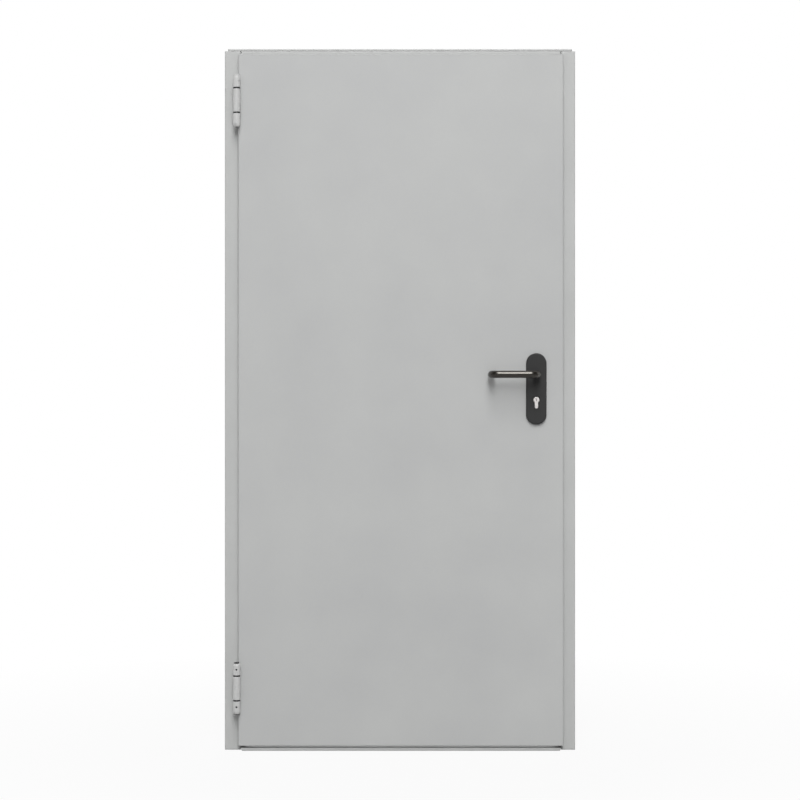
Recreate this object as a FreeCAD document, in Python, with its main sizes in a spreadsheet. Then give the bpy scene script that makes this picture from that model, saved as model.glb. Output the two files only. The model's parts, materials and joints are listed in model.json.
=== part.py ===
import FreeCAD, Part
import os
import Sketcher
from FreeCAD import Placement, Rotation, Vector
from math import pi

# Steel utility door: a rebated sheet-steel leaf in a folded corner frame, on two three-knuckle hinges.
# Millimetres, +Z up. The front faces -Y and the lock is on the +X side.
# The origin lies on the wall plane behind the hinge frame's face flange, at floor level,
# straight behind the hinge axis. Every x is measured from that axis.

SIZES = [
    ("frame_width", 1000, "over the frame's face"),
    ("frame_height", 2000, "floor to the top of the head strip"),
    ("axis_inset", 36.3, "outer edge of the hinge jamb to the hinge axis"),
    ("sheet", 2, "frame sheet thickness"),
    ("bend_inner", 1, "inner radius of a frame bend"),
    ("hinge_face", 45.5, "width of the hinge jamb's face"),
    ("lock_face", 40.5, "width of the lock jamb's face"),
    ("head_face", 18, "height of the head's face"),
    ("rebate", 28, "wall plane to the stop face"),
    ("stop_step", 14.5, "width of the stop"),
    ("reveal", 75, "wall plane to the back of the frame"),
    ("return_leg", 12, "folded edge at the back of the frame"),
    ("face_edge", 1.6, "rounding of the frame face's outer edge"),
    ("joint_gap", 1, "open joint between jamb and head"),
    ("strip_height", 6, "strip lying on the jamb tops"),
    ("strip_inset", 9, "strip end to the frame's outer edge"),
    ("strip_depth", 14, "strip, front to back"),
    ("anchor_radius", 5.5, "wall anchor holes in the reveal"),
    ("anchor_depth", 52, "wall plane to the anchor holes"),
    ("anchor_low", 250, "lowest anchor hole above the floor"),
    ("anchor_pitch", 750, "between anchor holes"),
    ("sill_height", 7, "threshold strip"),
    ("sill_corner", 4.6, "slope of the threshold's ends, top to bottom"),
    ("sill_play", 0.5, "threshold end to the jamb"),
    ("sill_setback", 2, "threshold front behind the leaf's face"),
    ("leaf_gap", 5, "clear gap beside and behind the leaf"),
    ("swing_gap", 7, "clear gap on the lock side, where the rear corner swings out"),
    ("head_gap", 6, "clear gap above the leaf's inner tray"),
    ("leaf_lap", 5.6, "leaf lip over the hinge jamb's face"),
    ("lock_lap", 5.7, "leaf lip over the lock jamb's face"),
    ("head_lap", 6.6, "leaf lip over the head face"),
    ("floor_gap", 14, "leaf bottom above the floor"),
    ("lip_depth", 15, "front tray, front to back"),
    ("tray_depth", 25, "rear tray behind the lip"),
    ("skin", 1, "leaf sheet thickness"),
    ("skin_edge", 1.6, "rounding of the leaf's front edges"),
    ("tray_edge", 1.5, "rounding of the leaf's rear edges"),
    ("seal_width", 10, "sealing strip"),
    ("seal_height", 5, "sealing strip above the stop"),
    ("seal_round", 2.2, "rounding of the sealing strip"),
    ("seal_inset", 2, "strip to the bend of the stop"),
    ("bracket_leg", 40, "corner bracket along the head"),
    ("bracket_sheet", 3, "corner bracket thickness"),
    ("bracket_width", 20, "corner bracket, front to back"),
    ("barrel_radius", 10.5, "hinge knuckles"),
    ("axis_front", 11.5, "hinge axis in front of the leaf's face"),
    ("outer_knuckle", 33, "length of the upper frame knuckle"),
    ("lower_extra", 2.5, "lower frame knuckle longer than the upper one"),
    ("leaf_knuckle", 66.1, "length of the leaf knuckle"),
    ("washer", 4, "bearing washer"),
    ("washer_radius", 9.9, "bearing washer"),
    ("washer_play", 0.1, "leaf knuckle to each washer"),
    ("pin_radius", 6, "hinge pin"),
    ("pin_play", 0.05, "pin in a knuckle, radial"),
    ("cap_radius", 8, "head of the pin"),
    ("cap_height", 3.5, "head of the pin"),
    ("foot_radius", 9, "foot of the pin"),
    ("foot_height", 1.5, "foot of the pin"),
    ("cap_bevel", 1.8, "bevel of the head"),
    ("foot_bevel", 0.8, "bevel of the foot"),
    ("taper_length", 6, "taper of the free knuckle ends, along the axis"),
    ("taper_step", 1.9, "taper of the free knuckle ends, off the radius"),
    ("washer_bevel", 0.6, "bevel of the knuckle ends beside a washer"),
    ("frame_wing", 5, "flat of a frame knuckle"),
    ("frame_wing_offset", 1.3, "flat of a frame knuckle beside the axis"),
    ("leaf_wing", 3, "flat of the leaf knuckle"),
    ("top_hinge_drop", 145.3, "top of the jamb to the middle of the top hinge"),
    ("bottom_hinge", 180.4, "middle of the bottom hinge above the floor"),
    ("tension_radius", 2.8, "holes that wind the spring hinge"),
    ("tension_inset", 16, "winding hole to the washer beside its knuckle"),
    ("grub_radius", 2.2, "hole of the screw that locks the top pin"),
    ("grub_turn", 50, "degrees from the front to that hole"),
    ("backset", 65, "lock edge to the spindle"),
    ("spindle_height", 1070.6, "spindle above the floor"),
    ("lock_pitch", 72, "spindle to the cylinder"),
    ("spindle_side", 9, "square spindle"),
    ("spindle_end", 22, "spindle inside a lever neck"),
    ("lock_plane", 9.5, "middle of the lock case behind the wall plane"),
    ("case_thick", 13, "lock case"),
    ("case_depth", 94, "lock case behind its front plate"),
    ("case_height", 168, "lock case"),
    ("case_above", 27, "lock case above the spindle"),
    ("forend_width", 15, "lock front plate"),
    ("forend_thick", 3, "lock front plate"),
    ("forend_height", 235, "lock front plate"),
    ("forend_above", 62, "lock front plate above the spindle"),
    ("bolt_width", 10, "latch and dead bolt"),
    ("bolt_length", 22, "latch and dead bolt inside the case"),
    ("latch_height", 32, "latch"),
    ("latch_above", 2, "middle of the latch above the spindle"),
    ("dead_height", 30, "dead bolt"),
    ("dead_below", 45, "middle of the dead bolt below the spindle"),
    ("bolt_play", 0.4, "bolts in their openings"),
    ("strike_play", 1.2, "openings in the lock jamb around the bolts"),
    ("strike_depth", 12, "box behind the strike openings"),
    ("strike_wall", 1.2, "wall of that box"),
    ("strike_rim", 8, "box beyond the openings"),
    ("follower_radius", 7.2, "hole around the spindle"),
    ("barrel_case", 8.5, "round part of the profile cylinder"),
    ("profile_half", 5, "half the flange of the profile cylinder"),
    ("profile_total", 33, "height of the profile cylinder"),
    ("profile_play", 0.3, "profile cylinder in its openings"),
    ("profile_proud", 2, "profile cylinder in front of a plate"),
    ("profile_edge", 0.9, "rounding of the profile cylinder's ends"),
    ("plate_play", 0.8, "profile cylinder in a handle plate"),
    ("keyway_width", 2.4, "key slot"),
    ("keyway_height", 8.6, "key slot"),
    ("keyway_depth", 14, "key slot"),
    ("plate_half", 29, "half the width of a handle plate"),
    ("plate_total", 203, "height of a handle plate"),
    ("plate_above", 60.8, "handle plate above the spindle"),
    ("plate_thick", 9, "handle plate"),
    ("plate_edge", 4, "rounding of a handle plate"),
    ("lever_radius", 10.5, "round bar of a lever"),
    ("lever_play", 0.4, "lever neck in its plate"),
    ("neck_play", 0.6, "lever neck in front of the leaf face"),
    ("lever_reach", 55, "leaf face to the grip's axis"),
    ("lever_span", 128, "neck axis to the return's axis"),
    ("lever_bend", 17, "bend of a lever, on its axis"),
    ("lever_end", 10, "free end of a lever to the leaf face"),
    ("lever_round", 3, "rounding of a lever's free end"),
    ("plug_radius", 6.6, "turning plug of the profile cylinder"),
    ("plug_groove", 0.5, "groove around the plug, wide and deep"),
    ("overcut", 5, "how far a cutting solid runs past the piece"),
]

doc = FreeCAD.newDocument("utility_door")
sheet = doc.addObject("Spreadsheet::Sheet", "Sizes")
for row, (alias, value, note) in enumerate(SIZES, 1):
    sheet.set(f"A{row}", alias)
    sheet.set(f"B{row}", str(value))
    sheet.setAlias(f"B{row}", alias)
    sheet.set(f"C{row}", note)
doc.recompute()


class Size:
    """A length known both as a number and as an expression on the sheet."""

    def __init__(self, value, text):
        self.value = value
        self.text = text

    def __add__(self, other):
        other = size(other)
        return Size(self.value + other.value, f"({self.text} + {other.text})")

    def __sub__(self, other):
        other = size(other)
        return Size(self.value - other.value, f"({self.text} - {other.text})")

    def __mul__(self, factor):
        return Size(self.value * factor, f"({self.text} * {factor})")

    def __neg__(self):
        return Size(-self.value, f"(0 - {self.text})")


def size(x):
    return x if isinstance(x, Size) else Size(float(x), f"{float(x):g}")


def cell(alias):
    return Size(float(sheet.get(alias)), f"Sizes.{alias}")


def bind(obj, path, x):
    obj.setExpression(path, size(x).text)


def place(obj, x, y, z):
    bind(obj, "Placement.Base.x", x)
    bind(obj, "Placement.Base.y", y)
    bind(obj, "Placement.Base.z", z)


def box(name, x, y, z):
    """A box from three (low, high) pairs."""
    obj = doc.addObject("Part::Box", name)
    for path, (low, high) in zip(("Length", "Width", "Height"), (x, y, z)):
        bind(obj, path, size(high) - low)
    place(obj, x[0], y[0], z[0])
    return obj


AXIS_TURN = {
    "x": Rotation(Vector(0, 1, 0), 90),
    "y": Rotation(Vector(1, 0, 0), -90),
    "z": Rotation(),
}


def rod(name, radius, start, length, axis="z"):
    """A cylinder from the start point along +X, +Y or +Z."""
    obj = doc.addObject("Part::Cylinder", name)
    obj.Placement = Placement(Vector(), AXIS_TURN[axis])
    bind(obj, "Radius", radius)
    bind(obj, "Height", length)
    place(obj, *start)
    return obj


def cone(name, low_radius, high_radius, start, length):
    """A cut-off cone from the start point along +Z."""
    obj = doc.addObject("Part::Cone", name)
    bind(obj, "Radius1", low_radius)
    bind(obj, "Radius2", high_radius)
    bind(obj, "Height", length)
    place(obj, *start)
    return obj


def fuse(name, pieces):
    obj = doc.addObject("Part::MultiFuse", name)
    obj.Shapes = pieces
    obj.Refine = True
    return obj


def cut(name, base, tools):
    """The base less each tool, where every tool must take something away."""
    doc.recompute()
    before = base.Shape.Volume
    for number, tool in enumerate(tools):
        step = doc.addObject("Part::Cut", f"{name}_{number}")
        step.Base = base
        step.Tool = tool
        step.Refine = True
        doc.recompute()
        if step.Shape.Volume >= before - 1e-6:
            raise RuntimeError(f"{step.Name} cuts nothing")
        before = step.Shape.Volume
        base = step
    return base


def edges_where(shape, test, along=None):
    """Names of the edges whose ends all pass the test, only those along a direction if one is given."""
    names = []
    for number, edge in enumerate(shape.Edges, 1):
        ends = [v.Point for v in edge.Vertexes]
        if not all(test(p) for p in ends):
            continue
        if along is None or (ends[-1] - ends[0]).cross(along).Length < 1e-4:
            names.append(f"Edge{number}")
    if not names:
        raise RuntimeError("no edge to round")
    return names


def near(a, b):
    return abs(a - size(b).value) < 1e-4


def round_edges(name, base, radius, test):
    """Part fillet of the chosen edges."""
    doc.recompute()
    obj = doc.addObject("Part::Fillet", name)
    obj.Base = base
    numbers = [int(n[4:]) for n in edges_where(base.Shape, test)]
    obj.Edges = [(n, radius.value, radius.value) for n in numbers]
    return obj


def bevel_edges(name, base, length, test):
    """Part chamfer of the chosen edges."""
    doc.recompute()
    obj = doc.addObject("Part::Chamfer", name)
    obj.Base = base
    numbers = [int(n[4:]) for n in edges_where(base.Shape, test)]
    obj.Edges = [(n, length.value, length.value) for n in numbers]
    return obj


def new_body(name):
    return doc.addObject("PartDesign::Body", name)


def new_sketch(body, name, role):
    sketch = body.newObject("Sketcher::SketchObject", name)
    plane = [f for f in body.Origin.OriginFeatures if f.Role == role][0]
    sketch.AttachmentSupport = [(plane, "")]
    sketch.MapMode = "FlatFace"
    return sketch


def pin_point(sketch, geo, pos, x, y):
    """Fix a point of a sketch at bound coordinates."""
    for kind, value in (("DistanceX", size(x)), ("DistanceY", size(y))):
        number = sketch.addConstraint(
            Sketcher.Constraint(kind, -1, 1, geo, pos, value.value)
        )
        sketch.setExpression(f"Constraints[{number}]", value.text)


def polygon(sketch, points):
    """A closed outline with straight sides through bound points."""
    count = len(points)
    ends = [Vector(size(x).value, size(y).value, 0) for x, y in points]
    sides = []
    for i in range(count):
        line = Part.LineSegment(ends[i], ends[(i + 1) % count])
        sides.append(sketch.addGeometry(line, False))
    for i in range(count):
        after = sides[(i + 1) % count]
        sketch.addConstraint(Sketcher.Constraint("Coincident", sides[i], 2, after, 1))
    for side, (x, y) in zip(sides, points):
        pin_point(sketch, side, 1, x, y)


def rectangle(sketch, x, y):
    polygon(sketch, [(x[0], y[0]), (x[1], y[0]), (x[1], y[1]), (x[0], y[1])])


def circle(sketch, x, y, radius):
    centre = Vector(size(x).value, size(y).value, 0)
    geo = sketch.addGeometry(Part.Circle(centre, Vector(0, 0, 1), radius.value), False)
    pin_point(sketch, geo, 3, x, y)
    number = sketch.addConstraint(Sketcher.Constraint("Radius", geo, radius.value))
    sketch.setExpression(f"Constraints[{number}]", radius.text)


def pad(body, name, sketch, length, start=None, backwards=False):
    """Extrude a sketch, from a bound distance along its normal if one is given."""
    if start is not None:
        bind(sketch, "AttachmentOffset.Base.z", start)
    obj = body.newObject("PartDesign::Pad", name)
    obj.Profile = sketch
    obj.Reversed = backwards
    bind(obj, "Length", length)
    doc.recompute()
    return obj


def pocket(body, name, sketch):
    """Cut right through the body on both sides of the sketch."""
    before = body.Shape.Volume
    obj = body.newObject("PartDesign::Pocket", name)
    obj.Profile = sketch
    obj.Type = "ThroughAll"
    obj.Midplane = True
    doc.recompute()
    if body.Shape.Volume >= before - 1e-6:
        raise RuntimeError(f"{name} cuts nothing")
    return obj


def soften(body, name, radius, test, along=None):
    """PartDesign fillet of the chosen edges."""
    base = body.Tip
    names = edges_where(base.Shape, test, along)
    obj = body.newObject("PartDesign::Fillet", name)
    obj.Base = (base, names)
    bind(obj, "Radius", radius)
    doc.recompute()
    return obj


# Main lines of the door
sheet_t = cell("sheet")
frame_left = -cell("axis_inset")
frame_right = cell("frame_width") - cell("axis_inset")
jamb_top = cell("frame_height") - cell("strip_height")
hinge_line = frame_left + cell("hinge_face")
lock_line = frame_right - cell("lock_face")
head_line = jamb_top - cell("head_face")
stop_y = cell("rebate")
reveal_y = cell("reveal")
step = cell("stop_step")

leaf_back = -sheet_t - cell("leaf_gap")
leaf_front = leaf_back - cell("lip_depth")
leaf_left = hinge_line - cell("leaf_lap")
leaf_right = lock_line + cell("lock_lap")
leaf_low = cell("floor_gap")
leaf_top = head_line + cell("head_lap")
tray_left = hinge_line + cell("leaf_gap")
tray_right = lock_line - cell("swing_gap")
tray_top = head_line - cell("head_gap")
tray_back = leaf_back + cell("tray_depth")
skin_t = cell("skin")

axis_y = leaf_front - cell("axis_front")
spindle_x = tray_right - cell("backset")
spindle_z = cell("spindle_height")
key_z = spindle_z - cell("lock_pitch")
lock_y = cell("lock_plane")
over = cell("overcut")

nodes = {}


def node(name, obj):
    obj.Label = name
    nodes[name] = obj


# Frame: folded 2 mm jambs with face, rebate, stop, reveal and a return edge
def jamb_profile(outer, inner, sign):
    """Outline from the face's outer edge round the bends and back; sign +1 turns inwards along +X."""
    t = sheet_t * sign
    stop_x = inner + step * sign
    lip_x = stop_x - cell("return_leg") * sign
    return [
        (outer, -sheet_t),
        (inner, -sheet_t),
        (inner, stop_y),
        (stop_x, stop_y),
        (stop_x, reveal_y),
        (lip_x, reveal_y),
        (lip_x, reveal_y - sheet_t),
        (stop_x - t, reveal_y - sheet_t),
        (stop_x - t, stop_y + sheet_t),
        (inner - t, stop_y + sheet_t),
        (inner - t, 0),
        (outer, 0),
    ]


UP = Vector(0, 0, 1)
ACROSS = Vector(1, 0, 0)
BEND_OUTSIDE = (1, 3, 4, 9)
BEND_INSIDE = (2, 7, 8, 10)


def upright_at(points, picks):
    def test(p):
        return any(near(p.x, points[i][0]) and near(p.y, points[i][1]) for i in picks)

    return test


def jamb(name, outer, inner, sign):
    points = jamb_profile(outer, inner, sign)
    body = new_body(name)
    outline = new_sketch(body, f"{name}_outline", "XY_Plane")
    polygon(outline, points)
    pad(body, f"{name}_pad", outline, jamb_top)
    bend = cell("bend_inner")
    outside = upright_at(points, BEND_OUTSIDE)
    inside = upright_at(points, BEND_INSIDE)
    soften(body, f"{name}_bends_out", bend + sheet_t, outside, UP)
    soften(body, f"{name}_bends_in", bend, inside, UP)
    soften(body, f"{name}_edge", cell("face_edge"), upright_at(points, (0,)), UP)
    holes = new_sketch(body, f"{name}_anchors", "YZ_Plane")
    for i in range(3):
        anchor_z = cell("anchor_low") + cell("anchor_pitch") * i
        circle(holes, cell("anchor_depth"), anchor_z, cell("anchor_radius"))
    pocket(body, f"{name}_anchor_holes", holes)
    return body


latch_z = spindle_z + cell("latch_above")
dead_z = spindle_z - cell("dead_below")
bolt_half = cell("bolt_width") * 0.5
strike_y = (
    lock_y - bolt_half - cell("strike_play"),
    lock_y + bolt_half + cell("strike_play"),
)


def tall(middle, height, extra):
    return (middle - height * 0.5 - extra, middle + height * 0.5 + extra)


latch_strike = tall(latch_z, cell("latch_height"), cell("strike_play"))
dead_strike = tall(dead_z, cell("dead_height"), cell("strike_play"))

node("hinge_jamb", jamb("hinge_jamb", frame_left, hinge_line, 1))
lock_jamb = jamb("lock_jamb", frame_right, lock_line, -1)
openings = new_sketch(lock_jamb, "lock_jamb_strikes", "YZ_Plane")
rectangle(openings, strike_y, latch_strike)
rectangle(openings, strike_y, dead_strike)
pocket(lock_jamb, "lock_jamb_strike_openings", openings)
node("lock_jamb", lock_jamb)

# Head: the same fold lying across, notched behind the rebate to fit between the reveals
head_points = [
    (-sheet_t, jamb_top),
    (-sheet_t, head_line),
    (stop_y, head_line),
    (stop_y, head_line - step),
    (reveal_y, head_line - step),
    (reveal_y, head_line - step + cell("return_leg")),
    (reveal_y - sheet_t, head_line - step + cell("return_leg")),
    (reveal_y - sheet_t, head_line - step + sheet_t),
    (stop_y + sheet_t, head_line - step + sheet_t),
    (stop_y + sheet_t, head_line + sheet_t),
    (0, head_line + sheet_t),
    (0, jamb_top),
]


def along_at(points, picks):
    def test(p):
        return any(near(p.y, points[i][0]) and near(p.z, points[i][1]) for i in picks)

    return test


head_left = hinge_line + cell("joint_gap")
head_right = lock_line - cell("joint_gap")
head = new_body("head_jamb")
head_outline = new_sketch(head, "head_outline", "YZ_Plane")
polygon(head_outline, head_points)
pad(head, "head_pad", head_outline, head_right - head_left, head_left)
head_bend = cell("bend_inner")
soften(head, "head_bends_out", head_bend + sheet_t, along_at(head_points, BEND_OUTSIDE), ACROSS)
soften(head, "head_bends_in", head_bend, along_at(head_points, BEND_INSIDE), ACROSS)
notches = new_sketch(head, "head_notches", "XY_Plane")
notch_y = (stop_y - cell("bend_inner"), reveal_y + over)
rectangle(notches, (head_left - over, hinge_line + step + cell("joint_gap")), notch_y)
rectangle(notches, (lock_line - step - cell("joint_gap"), head_right + over), notch_y)
pocket(head, "head_notch_cut", notches)
node("head_jamb", head)

strip = new_body("head_strip")
strip_outline = new_sketch(strip, "strip_outline", "YZ_Plane")
rectangle(
    strip_outline, (-sheet_t, cell("strip_depth") - sheet_t), (jamb_top, cell("frame_height"))
)
strip_left = frame_left + cell("strip_inset")
strip_right = frame_right - cell("strip_inset")
pad(strip, "strip_pad", strip_outline, strip_right - strip_left, strip_left)
node("head_strip", strip)

# Threshold strip between the jambs, with ends that slope in towards the floor
sill_left = hinge_line + cell("sill_play")
sill_right = lock_line - cell("sill_play")
sill_front = leaf_front + cell("sill_setback")
sill_back = stop_y - cell("leaf_gap")
sill_top = cell("sill_height")
slope = cell("sill_corner")
sill = new_body("sill")
sill_outline = new_sketch(sill, "sill_outline", "XZ_Plane")
polygon(
    sill_outline,
    [
        (sill_left + slope, 0),
        (sill_right - slope, 0),
        (sill_right, sill_top),
        (sill_left, sill_top),
    ],
)
pad(sill, "sill_pad", sill_outline, sill_back - sill_front, -sill_back)
soften(
    sill,
    "sill_nose",
    cell("face_edge"),
    lambda p: near(p.y, sill_front) and near(p.z, sill_top),
)
node("sill", sill)


# Angle brackets that join each jamb to the head, inside the fold
def corner_bracket(name, wall, sign):
    leg = cell("bracket_leg") * sign
    plate = cell("bracket_sheet") * sign
    deep = (bracket_front, bracket_front + cell("bracket_width"))
    low = head_line + sheet_t
    across = sorted((wall, wall + leg), key=lambda s: s.value)
    thick = sorted((wall, wall + plate), key=lambda s: s.value)
    flat = box(f"{name}_flat", across, deep, (low, low + cell("bracket_sheet")))
    upright = box(f"{name}_upright", thick, deep, (low, jamb_top))
    node(name, fuse(f"{name}_angle", [flat, upright]))


bracket_front = cell("bracket_sheet") + cell("bend_inner")
corner_bracket("hinge_corner_bracket", hinge_line, 1)
corner_bracket("lock_corner_bracket", lock_line, -1)


# Rubber sealing strips on the three stop faces
def seal(name, x, z):
    body = new_body(name)
    low_y = stop_y - cell("seal_height")
    outline = new_sketch(body, f"{name}_outline", "XZ_Plane")
    rectangle(outline, x, z)
    pad(body, f"{name}_pad", outline, cell("seal_height"), -stop_y)
    soften(body, f"{name}_round", cell("seal_round"), lambda p: near(p.y, low_y))
    node(name, body)


seal_a = cell("seal_inset")
seal_b = cell("seal_inset") + cell("seal_width")
seal_top = head_line - seal_a
seal("hinge_seal", (hinge_line + seal_a, hinge_line + seal_b), (cell("sill_height"), seal_top))
seal("lock_seal", (lock_line - seal_b, lock_line - seal_a), (cell("sill_height"), seal_top))
seal(
    "head_seal",
    (hinge_line + step + cell("joint_gap"), lock_line - step - cell("joint_gap")),
    (head_line - seal_b, head_line - seal_a),
)

# Plastic box behind the strike openings
strike_x = (lock_line + sheet_t, lock_line + sheet_t + cell("strike_depth"))
wall_t = cell("strike_wall")
rim = cell("strike_rim")
strike_z = (dead_strike[0] - rim, latch_strike[1] + rim)
strike_outer_y = (strike_y[0] - wall_t, strike_y[1] + wall_t)
strike_shell = box("strike_shell", strike_x, strike_outer_y, strike_z)
strike_hollow = box(
    "strike_hollow",
    (strike_x[0] - over, strike_x[1] - wall_t),
    strike_y,
    (strike_z[0] + wall_t, strike_z[1] - wall_t),
)
node("strike_box", cut("strike_box_cut", strike_shell, [strike_hollow]))


# Hinges: two frame knuckles, a leaf knuckle between them, washers and a pin with bevelled ends
def hinge(prefix, middle, wound):
    radius = cell("barrel_radius")
    bore = cell("pin_radius") + cell("pin_play")
    half = cell("leaf_knuckle") * 0.5
    outer = cell("outer_knuckle")
    ring = cell("washer")
    upper = (middle + half + ring, middle + half + ring + outer)
    lower = (middle - half - ring - outer - cell("lower_extra"), middle - half - ring)
    wing_x = (
        -cell("frame_wing_offset") - cell("frame_wing"),
        -cell("frame_wing_offset"),
    )

    def knuckle(name, z, flat_x, flat_back, free_end):
        taper = cell("taper_length")
        slim = radius - cell("taper_step")
        low, high = z
        ends = []
        if free_end == "high":
            high = high - taper
            ends.append(cone(f"{name}_taper", radius, slim, (0, axis_y, high), taper))
        if free_end == "low":
            ends.append(cone(f"{name}_taper", slim, radius, (0, axis_y, low), taper))
            low = low + taper
        barrel = bevel_edges(
            f"{name}_bevel",
            rod(f"{name}_barrel", radius, (0, axis_y, low), high - low),
            cell("washer_bevel"),
            lambda p: free_end != "high" and near(p.z, high) or free_end != "low" and near(p.z, low),
        )
        flat = box(f"{name}_flat", flat_x, (axis_y, flat_back), z)
        whole = fuse(f"{name}_whole", [barrel, flat] + ends)
        hole = rod(f"{name}_bore", bore, (0, axis_y, z[0] - over), z[1] - z[0] + over * 2)
        tools = [hole]
        if wound and free_end is not None:
            inset = cell("tension_inset")
            hole_z = z[0] + inset if free_end == "high" else z[1] - inset
            start = (0, axis_y - radius - over, hole_z)
            tools.append(
                rod(
                    f"{name}_winding",
                    cell("tension_radius"),
                    start,
                    radius + over,
                    "y",
                )
            )
        if not wound and name.endswith("upper_knuckle"):
            grub = rod(f"{name}_grub", cell("grub_radius"), (0, axis_y, 0), radius + over)
            turn = Rotation(Vector(0, 0, 1), cell("grub_turn").value)
            grub.Placement = Placement(Vector(), turn * Rotation(Vector(1, 0, 0), 90))
            place(grub, 0, axis_y, (z[0] + z[1]) * 0.5)
            tools.append(grub)
        node(name, cut(f"{name}_cut", whole, tools))

    knuckle(f"{prefix}_upper_knuckle", upper, wing_x, -sheet_t, "high")
    knuckle(f"{prefix}_lower_knuckle", lower, wing_x, -sheet_t, "low")
    leaf_wing_x = (leaf_left - cell("leaf_wing"), leaf_left)
    slack = cell("washer_play")
    leaf_z = (middle - half + slack, middle + half - slack)
    knuckle(f"{prefix}_leaf_knuckle", leaf_z, leaf_wing_x, leaf_back - skin_t, None)

    for side, low in (("upper", middle + half), ("lower", middle - half - ring)):
        name = f"{prefix}_{side}_washer"
        disc = rod(f"{name}_disc", cell("washer_radius"), (0, axis_y, low), ring)
        hole = rod(f"{name}_bore", bore, (0, axis_y, low - over), ring + over * 2)
        node(name, cut(f"{name}_cut", disc, [hole]))

    name = f"{prefix}_pin"
    shank = rod(f"{name}_shank", cell("pin_radius"), (0, axis_y, lower[0]), upper[1] - lower[0])
    ends = []
    for side, low, tip in (
        ("cap", upper[1], upper[1] + cell("cap_height")),
        ("foot", lower[0] - cell("foot_height"), lower[0] - cell("foot_height")),
    ):
        start = (0, axis_y, low)
        disc = rod(f"{name}_{side}", cell(f"{side}_radius"), start, cell(f"{side}_height"))
        ends.append(
            bevel_edges(
                f"{name}_{side}_bevel",
                disc,
                cell(f"{side}_bevel"),
                lambda p, tip=tip: near(p.z, tip),
            )
        )
    node(name, fuse(f"{name}_whole", [shank] + ends))


hinge("top_hinge", jamb_top - cell("top_hinge_drop"), False)
hinge("bottom_hinge", cell("bottom_hinge"), True)

# Openings through the leaf for the lock
through = (leaf_front - over * 4, tray_back + over * 4)
spindle_r = cell("follower_radius")
play = cell("profile_play")
profile_low = key_z + cell("barrel_case") - cell("profile_total")


def spindle_hole(name, radius):
    return rod(name, radius, (spindle_x, through[0], spindle_z), through[1] - through[0], "y")


def profile_solid(name, y, extra):
    """Profile cylinder shape: a round barrel over a flange with a rounded foot."""
    deep = y[1] - y[0]
    round_part = rod(f"{name}_barrel", cell("barrel_case") + extra, (spindle_x, y[0], key_z), deep, "y")
    half = cell("profile_half") + extra
    foot_z = profile_low + cell("profile_half")
    flange = box(f"{name}_flange", (spindle_x - half, spindle_x + half), y, (foot_z, key_z))
    foot = rod(f"{name}_foot", half, (spindle_x, y[0], foot_z), deep, "y")
    return fuse(f"{name}_profile", [round_part, flange, foot])


# Leaf: a front tray with its lip, and a rear tray inside the rebate
outer_block = box(
    "outer_block", (leaf_left, leaf_right), (leaf_front, leaf_back), (leaf_low, leaf_top)
)
outer_rounded = round_edges(
    "outer_rounded", outer_block, cell("skin_edge"), lambda p: near(p.y, leaf_front)
)
outer_cavity_block = box(
    "outer_cavity_block",
    (leaf_left + skin_t, leaf_right - skin_t),
    (leaf_front + skin_t, leaf_back - skin_t),
    (leaf_low + skin_t, leaf_top - skin_t),
)
outer_cavity = round_edges(
    "outer_cavity",
    outer_cavity_block,
    cell("skin_edge") - skin_t,
    lambda p: near(p.y, leaf_front + skin_t),
)
outer_mouth = box(
    "outer_mouth",
    (tray_left, tray_right),
    (leaf_back - skin_t - over, leaf_back + over),
    (leaf_low + skin_t, tray_top),
)
outer_skin = cut(
    "outer_skin_cut",
    outer_rounded,
    [
        outer_cavity,
        outer_mouth,
        spindle_hole("outer_skin_spindle", spindle_r),
        profile_solid("outer_skin_key", through, play),
    ],
)
node("outer_skin", outer_skin)

forend_back = tray_right - cell("forend_thick")
forend_half = cell("forend_width") * 0.5
forend_y = (lock_y - forend_half, lock_y + forend_half)
forend_top = spindle_z + cell("forend_above")
forend_z = (forend_top - cell("forend_height"), forend_top)

inner_block = box(
    "inner_block", (tray_left, tray_right), (leaf_back - skin_t, tray_back), (leaf_low + skin_t, tray_top)
)
inner_rounded = round_edges(
    "inner_rounded", inner_block, cell("tray_edge"), lambda p: near(p.y, tray_back)
)
inner_cavity_block = box(
    "inner_cavity_block",
    (tray_left + skin_t, tray_right - skin_t),
    (leaf_back - skin_t - over, tray_back - skin_t),
    (leaf_low + skin_t * 2, tray_top - skin_t),
)
inner_cavity = round_edges(
    "inner_cavity",
    inner_cavity_block,
    cell("tray_edge") - skin_t,
    lambda p: near(p.y, tray_back - skin_t),
)
inner_skin = cut(
    "inner_skin_cut",
    inner_rounded,
    [
        inner_cavity,
        spindle_hole("inner_skin_spindle", spindle_r),
        profile_solid("inner_skin_key", through, play),
        box("inner_skin_forend", (forend_back, tray_right + over), forend_y, forend_z),
    ],
)
node("inner_skin", inner_skin)

case_half = cell("case_thick") * 0.5
case_x = (forend_back - cell("case_depth"), forend_back)
case_y = (lock_y - case_half, lock_y + case_half)
case_top = spindle_z + cell("case_above")
case_z = (case_top - cell("case_height"), case_top)

core_square = box(
    "core_square",
    (tray_left + skin_t, tray_right - skin_t),
    (leaf_front + skin_t, tray_back - skin_t),
    (leaf_low + skin_t * 2, tray_top - skin_t),
)
core_block = round_edges(
    "core_block",
    core_square,
    cell("tray_edge") - skin_t,
    lambda p: near(p.y, tray_back - skin_t),
)
lock_pocket = box(
    "lock_pocket",
    (case_x[0], tray_right),
    (leaf_front, tray_back),
    (forend_z[0], forend_z[1]),
)
core = cut("core_cut", core_block, [lock_pocket])
node("leaf_core", core)


# Lock: case, front plate, and the two bolts drawn back flush
def bolt_block(name, middle, height, extra, x):
    y = (lock_y - bolt_half - extra, lock_y + bolt_half + extra)
    return box(name, x, y, tall(middle, height, extra))


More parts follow.
